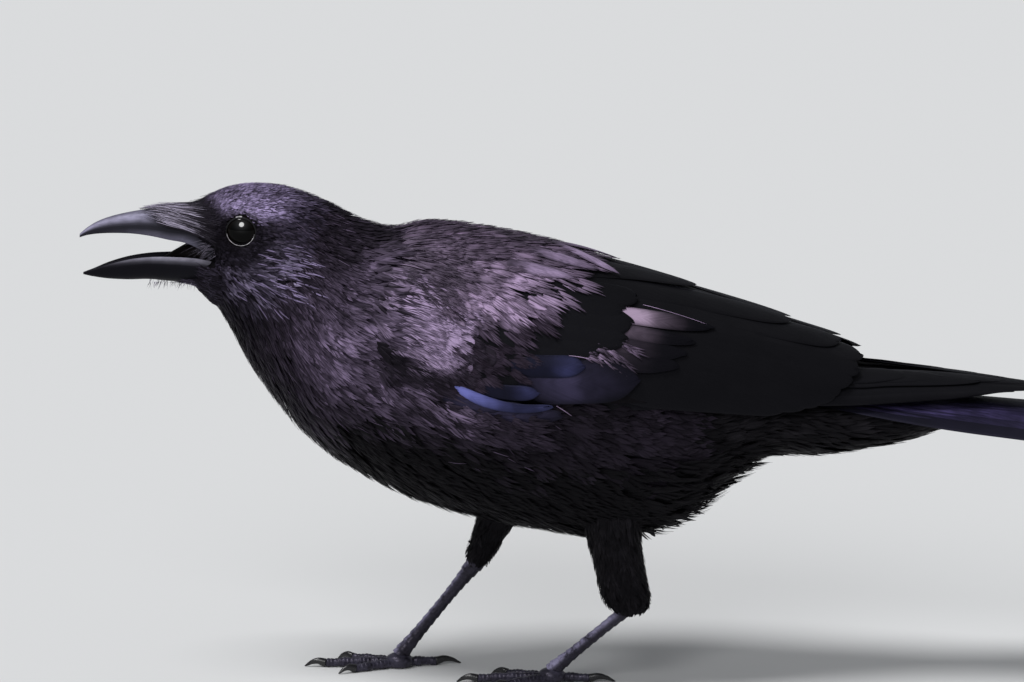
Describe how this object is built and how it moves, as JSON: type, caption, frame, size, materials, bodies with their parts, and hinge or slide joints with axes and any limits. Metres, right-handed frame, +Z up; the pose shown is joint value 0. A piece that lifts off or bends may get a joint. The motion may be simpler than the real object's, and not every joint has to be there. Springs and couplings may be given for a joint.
{
  "type": "carrion crow figure",
  "caption": "Life-size carrion crow standing in mid-stride with head level, wings folded and bill open.",
  "frame": {"origin": "on the floor, under the middle of the model's box", "axes": "the bird faces -X, its left side is towards -Y, +Z is up"},
  "size_m": [0.4838, 0.114, 0.2473],
  "materials": {
    "plumage": "soft black feathers with a violet sheen",
    "flight_feathers": "sleek black vanes with a blue sheen",
    "bill": "polished black horn",
    "mouth": "dark damp skin",
    "eye": "wet near-black brown",
    "leg_scales": "overlapping black scutes",
    "claw": "smooth black horn"
  },
  "bodies": {
    "root": {"bill_upper": "bill", "bill_lower": "bill", "tongue": "mouth", "eye_left": "eye", "eye_right": "eye", "head": "plumage", "neck": "plumage", "wing_coverts_left": "plumage", "wing_secondaries_left": "flight_feathers", "wing_primaries_left": "flight_feathers", "wing_coverts_right": "plumage", "wing_secondaries_right": "flight_feathers", "wing_primaries_right": "flight_feathers", "trunk": "plumage", "tail": "flight_feathers", "tail_coverts": "plumage", "thigh_left": "plumage", "tarsus_left": "leg_scales", "toe_hind_left": "leg_scales", "claw_hind_left": "claw", "toe_inner_left": "leg_scales", "claw_inner_left": "claw", "toe_middle_left": "leg_scales", "claw_middle_left": "claw", "toe_outer_left": "leg_scales", "claw_outer_left": "claw", "thigh_right": "plumage", "tarsus_right": "leg_scales", "toe_hind_right": "leg_scales", "claw_hind_right": "claw", "toe_inner_right": "leg_scales", "claw_inner_right": "claw", "toe_middle_right": "leg_scales", "claw_middle_right": "claw", "toe_outer_right": "leg_scales", "claw_outer_right": "claw"}
  },
  "joints": []
}
